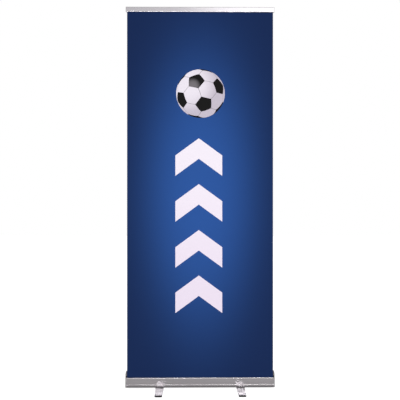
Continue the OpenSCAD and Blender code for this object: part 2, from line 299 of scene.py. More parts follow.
def addTurned(shape, profile, axis, centre, steps=64, hollow=False):
    # profile is (radius, distance along the axis)
    rings = []
    for radius, along in profile:
        ring = []
        for k in range(steps):
            angle = 2 * math.pi * k / steps
            u = centre[0] + radius * math.cos(angle)
            v = centre[1] + radius * math.sin(angle)
            ring.append((u, v, along) if axis == "Z" else (along, u, v))
        rings.append(ring)
    addRings(shape, rings, loop=hollow)


def addPeg(shape, radius, low, high, axis, centre, steps=48):
    addTurned(shape, [(radius, low), (radius, high)], axis, centre, steps)


def addSleeve(shape, bore, radius, low, high, edge, centre, steps, edgeSteps=2):
    profile = fillet([(bore, low), (bore, high), (radius, high), (radius, low)], edge, edgeSteps)
    addTurned(shape, profile, "Z", centre, steps, hollow=True)


def quarterRound(radius, steps):
    # (inset, distance from the end) along a rounded rim
    angles = [math.pi / 2 * k / steps for k in range(steps + 1)]
    return [(radius * (1 - math.sin(a)), radius * (1 - math.cos(a))) for a in angles]


def addSlab(shape, plan, z0, z1, edge):
    # plan(inset) is an outline in x and y; both rims are rounded by edge
    rim = quarterRound(edge, 3)
    rings = [(inset, z0 + rise) for inset, rise in rim] + [(inset, z1 - rise) for inset, rise in rim[::-1]]
    addRings(shape, [[(x, y, z) for x, y in plan(inset)] for inset, z in rings])


def addBlock(shape, low, high, edge):
    def plan(inset):
        return fillet(oblong([p + inset for p in low[:2]], [p - inset for p in high[:2]]), edge)
    addSlab(shape, plan, low[2], high[2], edge)


def newObject(name, shape):
    bmesh.ops.recalc_face_normals(shape, faces=shape.faces)
    mesh = bpy.data.meshes.new(name)
    shape.to_mesh(mesh)
    shape.free()
    made = bpy.data.objects.new(name, mesh)
    bpy.context.scene.collection.objects.link(made)
    return made


def settle(made):
    # turns an object with modifiers into a plain mesh
    evaluated = made.evaluated_get(bpy.context.evaluated_depsgraph_get())
    plain = bpy.data.meshes.new_from_object(evaluated)
    made.modifiers.clear()
    old = made.data
    made.data = plain
    plain.name = made.name
    bpy.data.meshes.remove(old)


def cut(made, cutterShape):
    cutter = newObject(made.name + "Cutter", cutterShape)
    modifier = made.modifiers.new("cut", "BOOLEAN")
    modifier.operation = "DIFFERENCE"
    modifier.solver = "EXACT"
    modifier.object = cutter
    settle(made)
    bpy.data.objects.remove(cutter)


def finishPiece(made, material, body, replaced=(), sharp=38):
    mesh = made.data
    if material:
        mesh.materials.clear()
        mesh.materials.append(material)
    mesh.shade_smooth()
    mesh.set_sharp_from_angle(angle=math.radians(sharp))
    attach(made, body)
    if replaced:
        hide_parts(*replaced)


# Geometry Nodes. newTree lists a tree's named inputs, runTree sets them by identifier.
def newTree(name, sockets):
    tree = bpy.data.node_groups.new(name, "GeometryNodeTree")
    tree.interface.new_socket("Geometry", in_out="INPUT", socket_type="NodeSocketGeometry")
    for label, kind in sockets.items():
        tree.interface.new_socket(label, in_out="INPUT", socket_type="NodeSocket" + kind)
    tree.interface.new_socket("Geometry", in_out="OUTPUT", socket_type="NodeSocketGeometry")
    maker = Maker(tree)
    start = tree.nodes.new("NodeGroupInput")
    given = {label: Wire(maker, start.outputs[label]) for label in ["Geometry", *sockets]}
    return tree, maker, given


def endTree(tree, maker, geometry, material):
    real = maker.node("GeometryNodeRealizeInstances", None, {"Geometry": geometry})
    coated = maker.node("GeometryNodeSetMaterial", None, {"Geometry": real, "Material": material})
    end = tree.nodes.new("NodeGroupOutput")
    maker.feed(end.inputs["Geometry"], coated)
    return tree


def runTree(made, tree, values):
    modifier = made.modifiers.new(tree.name, "NODES")
    modifier.node_group = tree
    for item in tree.interface.items_tree:
        if item.in_out == "INPUT" and item.name in values:
            modifier[item.identifier] = values[item.name]
    settle(made)


# One template at every vertex of the input, turned by its "turn" attribute and spun at random
def templatesAtPoints():
    sockets = {"Template": "Object", "Material": "Material", "Seed": "Int", "Most spin": "Float"}
    tree, maker, given = newTree("templatesAtPoints", sockets)
    template = maker.node("GeometryNodeObjectInfo", None, {"Object": given["Template"]}, "Geometry")
    turn = maker.node("GeometryNodeInputNamedAttribute", {"data_type": "FLOAT_VECTOR"}, {"Name": "turn"})
    spins = {2: 0.0, 3: given["Most spin"], "Seed": given["Seed"]}
    spin = maker.node("FunctionNodeRandomValue", {"data_type": "FLOAT"}, spins, 1)
    axis = maker.node("ShaderNodeCombineXYZ", None, {2: spin})
    placed = maker.node("GeometryNodeInstanceOnPoints", None,
                        {"Points": given["Geometry"], "Instance": template, "Rotation": turn})
    turned = maker.node("GeometryNodeRotateInstances", None, {"Instances": placed, "Rotation": axis})
    return endTree(tree, maker, turned, given["Material"])


# A ring of upright templates round the input, which stays
def ringOfTemplates():
    sockets = {"Template": "Object", "Material": "Material", "Count": "Int", "Radius": "Float",
               "Centre": "Vector"}
    tree, maker, given = newTree("ringOfTemplates", sockets)
    template = maker.node("GeometryNodeObjectInfo", None, {"Object": given["Template"]}, "Geometry")
    circle = {"Vertices": given["Count"], "Radius": given["Radius"]}
    ring = maker.node("GeometryNodeMeshCircle", None, circle)
    place = maker.node("GeometryNodeInputPosition")
    facing = maker.node("FunctionNodeAlignEulerToVector", {"axis": "X"}, {"Vector": place})
    placed = maker.node("GeometryNodeInstanceOnPoints", None,
                        {"Points": ring, "Instance": template, "Rotation": facing})
    moved = maker.node("GeometryNodeTransform", None, {"Geometry": placed, "Translation": given["Centre"]})
    joined = maker.node("GeometryNodeJoinGeometry")
    for part in (given["Geometry"], moved):
        maker.feed(joined.socket.node.inputs[0], part)
    return endTree(tree, maker, joined, given["Material"])


# A coil spring along X
def coilSpring():
    sockets = {"Material": "Material", "Turns": "Float", "Coil radius": "Float", "Wire radius": "Float",
               "Length": "Float", "Centre": "Vector"}
    tree, maker, given = newTree("coilSpring", sockets)
    spiral = {"Resolution": 20, "Rotations": given["Turns"], "Start Radius": given["Coil radius"],
              "End Radius": given["Coil radius"], "Height": given["Length"]}
    path = maker.node("GeometryNodeCurveSpiral", None, spiral)
    circle = {"Resolution": 6, "Radius": given["Wire radius"]}
    wire = maker.node("GeometryNodeCurvePrimitiveCircle", None, circle)
    swept = {"Curve": path, "Profile Curve": wire, "Fill Caps": True}
    coil = maker.node("GeometryNodeCurveToMesh", None, swept)
    laid = maker.node("GeometryNodeTransform", None,
                      {"Geometry": coil, "Rotation": (0.0, math.pi / 2, 0.0), "Translation": given["Centre"]})
    return endTree(tree, maker, laid, given["Material"])


pointsTree = templatesAtPoints()
ringTree = ringOfTemplates()
springTree = coilSpring()


def pointCloud(name, places, turns):
    mesh = bpy.data.meshes.new(name)
    mesh.from_pydata([tuple(p) for p in places], [], [])
    attribute = mesh.attributes.new("turn", "FLOAT_VECTOR", "POINT")
    for item, turn in zip(attribute.data, turns):
        item.vector = turn
    made = bpy.data.objects.new(name, mesh)
    bpy.context.scene.collection.objects.link(made)
    return made


print("cassette")
shellLow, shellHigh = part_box("cassette_shell")
capLow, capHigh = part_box("end_cap_right")
cassette = {
    "lipZ": 65.5 * mm,
    "wall": 1.8 * mm,
    "plinthRecess": 1.5 * mm,
    "beadZ": 26.8 * mm,         # top of the bead over the plinth
    "faceZ": 29.2 * mm,         # the face starts here, above the bead's sloping top
    "faceIn": 1.3 * mm,
    "lipRound": 1.5 * mm,
    "riserY": -32.5 * mm,       # front of the rounded back
    "slotFrontY": -38.2 * mm,
    "capRound": 2.4 * mm,       # rounding of an end cap's outer edge
    "portInset": 7.0 * mm,
    "capHoleRadius": 3.5 * mm,
    "poleHoleRadius": 17.3 * mm,
    "poleHoleZ": (62 * mm, 110 * mm),
}
frontY, rearY = shellLow[1], shellHigh[1]
baseZ, humpZ = shellLow[2], shellHigh[2]
halfDepth = (rearY - frontY) / 2
humpCentre = (0.0, humpZ - halfDepth)


def cassetteOutline(inset):
    # side outline as (y, z), from the lip's rear edge down the front and round to the riser
    radius = halfDepth - inset
    riser = cassette["riserY"] + inset
    corner = max(4 * mm - inset, 0.6 * mm)
    lip = max(cassette["lipRound"] - inset, 0.4 * mm)
    front, bottom, back = frontY + inset, baseZ + inset, rearY - inset
    plinthY, faceY = front + cassette["plinthRecess"], front + cassette["faceIn"]
    top = cassette["lipZ"] - inset
    points = arc((faceY + lip, top - lip), lip, 90, 180, 6)
    faceZ, plinthTop = cassette["faceZ"], plinthTopZ + inset
    bead = [(faceY, faceZ + 3 * mm), (faceY, faceZ), (front, cassette["beadZ"]), (front, plinthTop),
            (plinthY, plinthTop), (plinthY, plinthTop - 2 * mm)]
    points += fillet(bead, 0.6 * mm, 3, closed=False)
    points += arc((plinthY + corner, bottom + corner), corner, 180, 270, 6)
    points += arc((back - corner, bottom + corner), corner, 270, 360, 6)
    points += arc(humpCentre, radius, 0, 180 - math.degrees(math.acos(-riser / radius)), 48)
    return points + [(riser, top)]


outerLine = cassetteOutline(0)
innerLine = cassetteOutline(cassette["wall"])
slotFront = cassette["slotFrontY"]
wall = cassette["wall"]
shellSection = [(slotFront, cassette["lipZ"])] + outerLine
shellSection += [(cassette["riserY"] + wall, cassette["lipZ"])]
shellSection += list(reversed(innerLine[:-1])) + [(slotFront, cassette["lipZ"] - wall)]
shape = bmesh.new()
socketX = 24 * mm
addAlongX(shape, shellSection, [shellLow[0], -socketX, socketX, shellHigh[0]])
shell = newObject("cassetteBody", shape)

pole = (0.0, -10 * mm)
socketLow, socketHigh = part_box("pole_socket")
cutter = bmesh.new()
addPeg(cutter, cassette["poleHoleRadius"], *cassette["poleHoleZ"], "Z", pole, 64)
cut(shell, cutter)
finishPiece(shell, anodised, "cassette", ["cassette_shell"], sharp=30)

portInset = cassette["portInset"]
ports = [
    (frontY + cassette["plinthRecess"] + portInset, baseZ + portInset),
    (rearY - portInset, baseZ + portInset),
    arc(humpCentre, halfDepth - portInset, 52, 52, 1)[0],
]


def endCap(side, name, node):
    inner, outer = capLow[0], capHigh[0]
    lipX = shellHigh[0]
    shape = bmesh.new()
    stations = [(lipX, 0.4 * mm), (lipX + 0.3 * mm, 0.1 * mm), (lipX + 0.6 * mm, 0.0)]
    stations += [(outer - back, inset) for back, inset in quarterRound(cassette["capRound"], 8)]
    rings = [[(side * x, y, z) for y, z in cassetteOutline(inset + 0.01 * mm)] for x, inset in stations]
    addRings(shape, rings)
    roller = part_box("roller_tube")
    axle = ((roller[0][1] + roller[1][1]) / 2, (roller[0][2] + roller[1][2]) / 2)
    boss = oblong((5.1 * mm, side * inner), (9 * mm, side * (lipX + 1 * mm)))
    addTurned(shape, fillet(boss, 0.6 * mm), "X", axle, 48, hollow=True)
    made = newObject(name, shape)
    holes = bmesh.new()
    ends = sorted((side * (outer - 3.4 * mm), side * (outer + 2 * mm)))
    for port in ports:
        addPeg(holes, cassette["capHoleRadius"], *ends, "X", port, 32)
    cut(made, holes)
    finishPiece(made, silverPlastic, "cassette", [node], sharp=30)


endCap(1, "rightEndCap", "end_cap_right")
endCap(-1, "leftEndCap", "end_cap_left")

# the strip that the film slides over, with a rounded top
guideLow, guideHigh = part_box("slot_guide")
shape = bmesh.new()
guideTop = oblong((guideLow[1], cassette["lipZ"] + 0.3 * mm), guideHigh[1:])
addAlongX(shape, fillet(guideTop, 0.8 * mm), [guideLow[0], guideHigh[0]])
guideFoot = oblong(guideLow[1:], (guideHigh[1], cassette["lipZ"] + 0.6 * mm))
addAlongX(shape, fillet(guideFoot, 0.4 * mm), [shellLow[0] + 0.5 * mm, shellHigh[0] - 0.5 * mm])
finishPiece(newObject("slotGuide", shape), blackPlastic, "cassette", ["slot_guide"])

print("screws")
screw = {
    "headRadius": 3.2 * mm,
    "headHeight": 2.0 * mm,
    "shankRadius": 1.8 * mm,
    "recessLength": 4.2 * mm,
    "recessWidth": 0.9 * mm,
    "recessDepth": 1.2 * mm,
    "seed": 4,
}


def screwTemplate(name, shankLength):
    # points up, with the top of its head at the origin
    radius, height = screw["headRadius"], screw["headHeight"]
    shape = bmesh.new()
    shank, end = screw["shankRadius"], -height - shankLength
    profile = [(shank * 0.6, end), (shank, end + 1 * mm), (shank, -height + 0.01 * mm)]
    addTurned(shape, profile, "Z", (0, 0), 16)
    head = [(radius - 0.3 * mm, -height), (radius, -height + 0.3 * mm)]
    dome = 0.9 * mm
    head += [(radius * math.cos(a), dome * (math.sin(a) - 1)) for a in (0.25, 0.55, 0.85, 1.15, 1.4)]
    addTurned(shape, head, "Z", (0, 0), 32)
    made = newObject(name, shape)
    half, thin = screw["recessLength"] / 2, screw["recessWidth"] / 2
    for across in (0, 1):
        cutter = bmesh.new()
        rings = []
        for z, taper in ((-screw["recessDepth"], 0.45), (0.5 * mm, 1.1)):
            a, b = half * taper, thin * (0.6 + 0.4 * taper)
            plan = oblong((-a, -b), (a, b))
            rings.append([(y, x, z) if across else (x, y, z) for x, y in plan])
        addRings(cutter, rings)
        cut(made, cutter)
    return made


def screwSet(name, places, turns, shankLength, node):
    template = screwTemplate(name + "Template", shankLength)
    made = pointCloud(name, places, turns)
    runTree(made, pointsTree, {"Template": template, "Material": zincSteel, "Seed": screw["seed"],
                               "Most spin": math.pi / 2})
    bpy.data.objects.remove(template)
    finishPiece(made, None, "cassette", [node], sharp=35)


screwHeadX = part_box("end_cap_screws")[1][0]
capScrewPlaces = [(side * screwHeadX, y, z) for side in (-1, 1) for y, z in ports]
capScrewTurns = [(0.0, side * math.pi / 2, 0.0) for side in (-1, 1) for _ in ports]
screwSet("endCapScrews", capScrewPlaces, capScrewTurns, 12 * mm, "end_cap_screws")

socketScrewLow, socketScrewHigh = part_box("socket_screws")
socketScrewY = (socketScrewLow[1] + socketScrewHigh[1]) / 2
socketScrewX = socketScrewHigh[0] - screw["headRadius"]
socketScrewPlaces = [(side * socketScrewX, socketScrewY, socketScrewHigh[2]) for side in (-1, 1)]
screwSet("socketScrews", socketScrewPlaces, [(0.0, 0.0, 0.0)] * 2, 18 * mm, "socket_screws")

print("pole socket")
socket = {
    "bore": 12.7 * mm,
    "radius": 17 * mm,
    "plateStart": 14 * mm,
    "plateThick": 3 * mm,
    "bossBore": 2 * mm,
    "bossRadius": 5 * mm,
    "bossHeight": 27 * mm,
}
shape = bmesh.new()
bore, radius = socket["bore"], socket["radius"]
bottom, top = socketLow[2], socketHigh[2]
ringProfile = [(bore, bottom + 2 * mm), (bore, top), (radius, top), (radius, bottom), (bore, bottom)]
addTurned(shape, fillet(ringProfile, 1.2 * mm), "Z", pole, 72, hollow=True)
addPeg(shape, bore + 1 * mm, bottom + 0.1 * mm, bottom + 2 * mm, "Z", pole)
for side in (-1, 1):
    start = socket["plateStart"]
    x0, x1 = (start, socketHigh[0]) if side > 0 else (socketLow[0], -start)
    addBlock(shape, (x0, *socketLow[1:]), (x1, socketHigh[1], bottom + socket["plateThick"]), 0.8 * mm)
    addSleeve(shape, socket["bossBore"], socket["bossRadius"], bottom + 1 * mm, bottom + socket["bossHeight"],
              0.4 * mm, (side * socketScrewX, socketScrewY), 32)
finishPiece(newObject("poleSocket", shape), blackPlastic, "cassette", ["pole_socket"])

print("feet")
foot = {
    "pivotWidth": 49 * mm,
    "tipWidth": 40 * mm,
    "bottomZ": 2.2 * mm,
    "topZ": 10 * mm,
    "skin": 2 * mm,
    "crown": 0.7 * mm,
    "corner": 2.2 * mm,
    "bossRadius": 11 * mm,
    "boreRadius": 4.05 * mm,
    "bossZ": (4.6 * mm, 8.4 * mm),
    "boreZ": (3 * mm, 12 * mm),
    "tipBulge": 3 * mm,
    "tipLength": 5 * mm,
    "tongue": 25 * mm,
}


def footWidth(y, reach):
    return foot["pivotWidth"] + (foot["tipWidth"] - foot["pivotWidth"]) * abs(y) / reach


def footSection(width):
    # (x, z) of the inverted channel, crowned on top
    half = width / 2
    bottom, top = foot["bottomZ"], foot["topZ"]
    side = top - foot["crown"]
    crown = [(-half + width * k / 8, top - foot["crown"] * (abs(k - 4) / 4) ** 2) for k in range(1, 8)]
    outer = fillet([(-half, bottom), (-half, side), crown[0]], foot["corner"], 6, closed=False) + crown[1:-1]
    outer += fillet([crown[-1], (half, side), (half, bottom)], foot["corner"], 6, closed=False)
    inside, ceiling = half - foot["skin"], top - foot["skin"]
    inner = [(inside, bottom), (inside, ceiling), (-inside, ceiling), (-inside, bottom)]
    return outer + fillet(inner, 0.6 * mm, 2, closed=False)


def footBar(name, node, body):
    low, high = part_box(node)
    x0, reach = (low[0] + high[0]) / 2, high[1]
    full = reach + foot["tipLength"]
    stations = [0.1 * reach, 0.4 * reach, 0.7 * reach, reach - 0.6 * mm, reach]
    stations = [-y for y in reversed(stations)] + [0.0] + stations
    rings = []
    for y in stations:
        shrink = 0.3 * mm if abs(y) == reach else 0.0
        rings.append([(x0 + x, y, z) for x, z in footSection(footWidth(y, full) - shrink)])
    shape = bmesh.new()
    addRings(shape, rings)
    addSleeve(shape, foot["boreRadius"], foot["bossRadius"], *foot["bossZ"], 0.5 * mm, (x0, 0.0), 48, 3)
    made = newObject(name, shape)
    bore = bmesh.new()
    addPeg(bore, foot["boreRadius"], *foot["boreZ"], "Z", (x0, 0.0))
    cut(made, bore)
    finishPiece(made, footMetal, body, [node], sharp=35)


def footTips(name, node, body):
    low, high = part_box(node)
    x0, reach = (low[0] + high[0]) / 2, high[1]
    seam = reach - foot["tipLength"]
    half, bulge = foot["tipWidth"] / 2, foot["tipBulge"]
    radius = (half * half + bulge * bulge) / (2 * bulge)
    sweep = math.degrees(math.asin(half / radius))
    shape = bmesh.new()
    for side in (-1, 1):
        def plan(inset):
            turn = sweep * (1 - inset / half)
            corners = arc((0.0, -reach + radius), radius - inset, 270 - turn, 270 + turn, 14)
            outline = [(half - inset, -seam - inset)] + [(-half + inset, -seam - inset)] + corners
            return [(x0 + x, -side * y) for x, y in outline]
        addSlab(shape, plan, low[2], high[2], 0.9 * mm)
        y0, y1 = sorted((side * (seam + 0.5 * mm), side * (seam - foot["tongue"])))
        inner = half - foot["skin"] - 0.4 * mm
        top = foot["topZ"] - foot["skin"] - 0.1 * mm
        addBlock(shape, (x0 - inner, y0, low[2]), (x0 + inner, y1, top), 0.6 * mm)
    finishPiece(newObject(name, shape), blackPlastic, body, [node])


def footPads(name, node, body):
    # rubber discs with two grooves underneath
    low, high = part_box(node)
    x0, radius = (low[0] + high[0]) / 2, (high[0] - low[0]) / 2
    padY, top = high[1] - radius, high[2]
    groove = 0.35 * mm
    profile = [(0.4 * mm, 0.0), (3.0 * mm, 0.0), (3.3 * mm, groove), (4.1 * mm, groove), (4.4 * mm, 0.0),
               (6.2 * mm, 0.0), (6.5 * mm, groove), (7.3 * mm, groove), (7.6 * mm, 0.0),
               (radius - 0.3 * mm, 0.0), (radius, 0.3 * mm), (radius, top), (0.4 * mm, top)]
    shape = bmesh.new()
    for side in (-1, 1):
        addTurned(shape, profile, "Z", (x0, side * padY), 48)
    finishPiece(newObject(name, shape), rubber, body, [node], sharp=30)


for hand in ("left", "right"):
    footBar(hand + "FootBar", "foot_" + hand, hand + "_foot")
    footTips(hand + "FootTips", "foot_" + hand + "_tips", hand + "_foot")
    footPads(hand + "FootPads", "foot_" + hand + "_pads", hand + "_foot")

print("pole")


def tube(name, node, body, radius, wallThick):
    low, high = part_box(node)
    shape = bmesh.new()
    addSleeve(shape, radius - wallThick, radius, low[2], high[2], 0.3 * mm, pole, 64)
    finishPiece(newObject(name, shape), poleMetal, body, [node])


tube("lowerTube", "pole_lower", "cassette", 12.5 * mm, 1 * mm)
tube("middleTube", "pole_middle", "middle_section", 11 * mm, 1 * mm)
tube("upperTube", "pole_upper", "upper_section", 9.5 * mm, 1 * mm)

collar = {"radius": 15.6 * mm, "ribs": 20, "ribRadius": 1.15 * mm, "rim": 16.4 * mm}


def ribTemplate(length):
    shape = bmesh.new()
    thick, end = collar["ribRadius"], length / 2
    upper = [(thick, end - 1.8 * mm), (thick * 0.8, end - 0.6 * mm), (thick * 0.35, end)]
    addTurned(shape, [(r, -z) for r, z in upper[::-1]] + upper, "Z", (0, 0), 10)
    return newObject("ribTemplate", shape)


def twistCollar(name, node, body, lowerBore, upperBore):
    low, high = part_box(node)
    z0, z1 = low[2], high[2]
    girth, rim = collar["radius"], collar["rim"]
    outer = [(lowerBore, z0), (rim - 1.5 * mm, z0), (rim, z0 + 1.5 * mm), (rim, z0 + 4.2 * mm),
             (girth, z0 + 5.4 * mm), (girth, z1 - 9 * mm), (rim, z1 - 7.6 * mm), (rim, z1 - 4.6 * mm),
             (girth - 1.2 * mm, z1 - 3.4 * mm), (girth - 2 * mm, z1), (upperBore, z1),
             (upperBore, z0 + 24 * mm), (lowerBore, z0 + 23.9 * mm)]
    shape = bmesh.new()
    addTurned(shape, fillet(outer, 0.5 * mm, 3), "Z", pole, 64, hollow=True)
    made = newObject(name, shape)
    span = (z0 + 4.8 * mm, z1 - 8.2 * mm)
    template = ribTemplate(span[1] - span[0])
    runTree(made, ringTree, {"Template": template, "Material": blackPlastic, "Count": collar["ribs"],
                             "Radius": girth - 0.25 * mm, "Centre": (*pole, (span[0] + span[1]) / 2)})
    bpy.data.objects.remove(template)
    finishPiece(made, None, body, [node], sharp=40)


twistCollar("lowerCollar", "collar_lower", "lower_collar", 12.56 * mm, 11.06 * mm)
twistCollar("upperCollar", "collar_upper", "upper_collar", 11.06 * mm, 9.56 * mm)

headLow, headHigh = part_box("pole_head")
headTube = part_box("pole_upper")[1][2]
head = {"plug": 8.4 * mm, "shoulder": 12.4 * mm, "pin": 8.9 * mm, "shoulderTop": 2065.7 * mm}
plug, shoulder, pin, shoulderTop = head.values()
shape = bmesh.new()
profile = [(plug, headLow[2]), (plug, headTube + 0.2 * mm), (shoulder, headTube + 0.2 * mm),
           (shoulder, headTube + 4 * mm), (shoulder - 1 * mm, headTube + 6 * mm),
           (shoulder - 1 * mm, headTube + 10 * mm), (shoulder, headTube + 12 * mm), (shoulder, shoulderTop),
           (pin, shoulderTop), (pin, headHigh[2] - 2 * mm), (pin - 2 * mm, headHigh[2])]
addTurned(shape, fillet(profile, 0.5 * mm, 3, closed=False), "Z", pole, 64)
finishPiece(newObject("poleHead", shape), blackPlastic, "upper_section", ["pole_head"])

print("top rail")
railLow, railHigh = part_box("rail_front")
backLow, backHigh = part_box("rail_back")
rail = {"wall": 1.8 * mm, "round": 3.2 * mm, "mouth": 7 * mm}


def railFrontSection():
    y0, y1, z0, z1 = railLow[1], railHigh[1], railLow[2], railHigh[2]
    t = rail["wall"]
    outer = fillet([(y1, z1), (y0, z1), (y0, z0), (y1, z0)], rail["round"], 8, closed=False)
    inner = [(y1, z0 + t), (y0 + t, z0 + t), (y0 + t, z1 - t), (y1, z1 - t)]
    return outer + fillet(inner, 1.4 * mm, closed=False)


def railBackSection():
    y0, y1, z0, z1 = backLow[1], backHigh[1], backLow[2], backHigh[2]
    t, m = rail["wall"], rail["mouth"]
    points = [(y0, z0), (y1, z0), (y1, z0 + m), (y1 - t, z0 + m), (y1 - t, z0 + t), (y0 + t, z0 + t),
              (y0 + t, z1 - t), (y1 - t, z1 - t), (y1 - t, z1 - m), (y1, z1 - m), (y1, z1), (y0, z1)]
    return fillet(points, 0.5 * mm, 3)


rails = (
    ("railFront", railFrontSection(), railLow, railHigh, railMetal, "rail_aluminium", "rail_front"),
    ("railBack", railBackSection(), backLow, backHigh, channelMetal, "anodised_aluminium", "rail_back"),
)
for name, section, low, high, material, slot, node in rails:
    shape = bmesh.new()
    addAlongX(shape, section, [low[0], high[0]])
    finishPiece(newObject(name, shape), material, "top_rail", [node], sharp=30)


def railCap(side, name, node):
    low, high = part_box(node)
    outer = max(abs(low[0]), abs(high[0]))
    inner = railHigh[0]
    y0, y1, z0, z1 = low[1], high[1], low[2], high[2]
    shape = bmesh.new()
    rings = []
    stations = [(inner, 0.15), (inner + 0.15 * mm, 0.0), (outer - 0.5 * mm, 0.0), (outer - 0.15 * mm, 0.2),
                (outer, 0.5)]
    for x, inset in stations:
        g = inset * mm
        box = oblong((y0 + g, z0 + g), (y1 - g, z1 - g))
        rings.append([(side * x, y, z) for y, z in fillet(box, rail["round"] - g, 8)])
    addRings(shape, rings)
    # the tongue that goes into the rear channel
    gap = rail["wall"] + 0.3 * mm
    x0, x1 = sorted((side * (inner - 12 * mm), side * (inner + 0.4 * mm)))
    addBlock(shape, (x0, backLow[1] + gap, z0 + gap), (x1, backLow[1] + gap + 4 * mm, z1 - gap), 0.5 * mm)
    finishPiece(newObject(name, shape), silverPlastic, "top_rail", [node])


railCap(1, "rightRailCap", "rail_cap_right")
railCap(-1, "leftRailCap", "rail_cap_left")

hookLow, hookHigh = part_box("rail_hook")
hook = {"blockHalf": 22 * mm, "neckHalf": 20 * mm, "boss": 13.5 * mm, "bore": 9 * mm, "boreTop": 2083 * mm}
shape = bmesh.new()
channelY, lipY = backLow[1] + rail["wall"] + 0.2 * mm, backHigh[1] - rail["wall"] - 0.2 * mm
block, neck = hook["blockHalf"], hook["neckHalf"]
addBlock(shape, (-block, channelY, backLow[2] + 2 * mm), (block, lipY, backHigh[2] - 2 * mm), 0.6 * mm)
addBlock(shape, (-neck, lipY - 0.5 * mm, backLow[2] + 7.2 * mm),
         (neck, pole[1], backHigh[2] - 7.2 * mm), 0.5 * mm)
addBlock(shape, (-neck, backHigh[1] + 0.2 * mm, hookLow[2]), (neck, pole[1], hookHigh[2]), 1.5 * mm)
bossProfile = [(1 * mm, hookLow[2]), (hook["boss"], hookLow[2]), (hook["boss"], hookHigh[2]),
               (1 * mm, hookHigh[2])]
addTurned(shape, fillet(bossProfile, 1.5 * mm, 4, closed=False), "Z", pole, 64)
hookPiece = newObject("railHook", shape)
bore = bmesh.new()
addPeg(bore, hook["bore"], hookLow[2] - 5 * mm, hook["boreTop"] + 1 * mm, "Z", pole, 64)
cut(hookPiece, bore)
finishPiece(hookPiece, blackPlastic, "top_rail", ["rail_hook"])

print("spring")
springLow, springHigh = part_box("roller_spring")
spring = {"wireRadius": 0.95 * mm, "coilRadius": 8.0 * mm, "pitch": 2.05 * mm}
springLength = springHigh[0] - springLow[0]
carrier = pointCloud("torsionSpring", [], [])
springCentre = (springLow[0] + spring["wireRadius"], (springLow[1] + springHigh[1]) / 2,
                (springLow[2] + springHigh[2]) / 2)
runTree(carrier, springTree, {"Material": springSteel, "Turns": springLength / spring["pitch"] - 1.0,
                              "Coil radius": spring["coilRadius"], "Wire radius": spring["wireRadius"],
                              "Length": springLength - 2 * spring["wireRadius"], "Centre": springCentre})
finishPiece(carrier, None, "cassette", ["roller_spring"], sharp=60)

print("film")
filmLow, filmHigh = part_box("banner_sheet")
film = {
    "width": filmHigh[0] - filmLow[0],
    "height": filmHigh[2] - filmLow[2],
    "slack": 0.5 * mm,          # depth of the soft waves between the slot and the rail
    "curl": 0.9 * mm,           # how far the side edges curl back
    "columns": 64,
    "rows": 128,
    "keep": 1 - 1.2 / 2.05,     # the height left when both pole sections are down
    "printCell": 24 * mm,       # widest facet of the ink, so that it follows the film's waves
    "printRaise": 0.05 * mm,
    "printSink": 0.12 * mm,
}
slotZ = cassette["lipZ"] + 12 * mm
freeTop = railLow[2] - 8 * mm


def filmWave(x, z):
    # how far the film stands behind its plane at rest
    t = min(max((z - slotZ) / (freeTop - slotZ), 0.0), 1.0)
    held = math.sin(math.pi * t) ** 0.7 if 0 < t < 1 else 0.0
    wave = math.sin(2 * math.pi * (x / 0.93 + 0.13)) + 0.6 * math.sin(2 * math.pi * (x / 0.51 + z / 1.7))
    return held * (film["slack"] * wave + film["curl"] * abs(2 * x / film["width"]) ** 10)


def filmPlace(x, z, forward):
    return (x, filmLow[1] + filmWave(x, z) - forward, z)


def addFilmUv(made, low, high):
    # the print's own map, so that it winds and squashes with the film
    layer = made.data.uv_layers.new(name="print")
    for loop in made.data.loops:
        place = made.data.vertices[loop.vertex_index].co
        u, v = (place.x - low[0]) / (high[0] - low[0]), (place.z - low[1]) / (high[1] - low[1])
        layer.data[loop.index].uv = (u, v)


def filmGrid(name):
    thick = filmHigh[1] - filmLow[1]
    shape = bmesh.new()
    sides = []
    for forward in (0.0, -thick):
        rows = []
        for r in range(film["rows"] + 1):
            z = filmLow[2] + film["height"] * r / film["rows"]
            xs = [filmLow[0] + film["width"] * c / film["columns"] for c in range(film["columns"] + 1)]
            rows.append([shape.verts.new(filmPlace(x, z, forward)) for x in xs])
        sides.append(rows)
    front, back = sides
    strips = [(0, pair) for pair in zip(front, front[1:])] + [(1, pair) for pair in zip(back, back[1:])]
    strips += [(2, (front[end], back[end])) for end in (0, -1)]
    strips += [(2, ([row[end] for row in front], [row[end] for row in back])) for end in (0, -1)]
    for which, (first, second) in strips:
        for k in range(len(first) - 1):
            face = shape.faces.new((first[k], first[k + 1], second[k + 1], second[k]))
            face.material_index = which
    return newObject(name, shape)


lightLevel = 1.60   # how much the studio light lifts a matt colour facing the front


def ink(colour, factor=1.0):
    return tint(colour, factor / lightLevel)


printTones = {
    "edge": (0.0104, 0.0256, 0.0925),
    "middle": (0.0282, 0.0990, 0.3584),
    "glowCentre": (-0.0003, 1.087),
    "glowSize": (0.2985, 0.740),
    "glowFall": 1.415,
}


def printUv(maker):
    uv = maker.node("ShaderNodeUVMap", {"uv_map": "print"})
    u, v, _ = maker.axes(uv)
    return uv, u, v


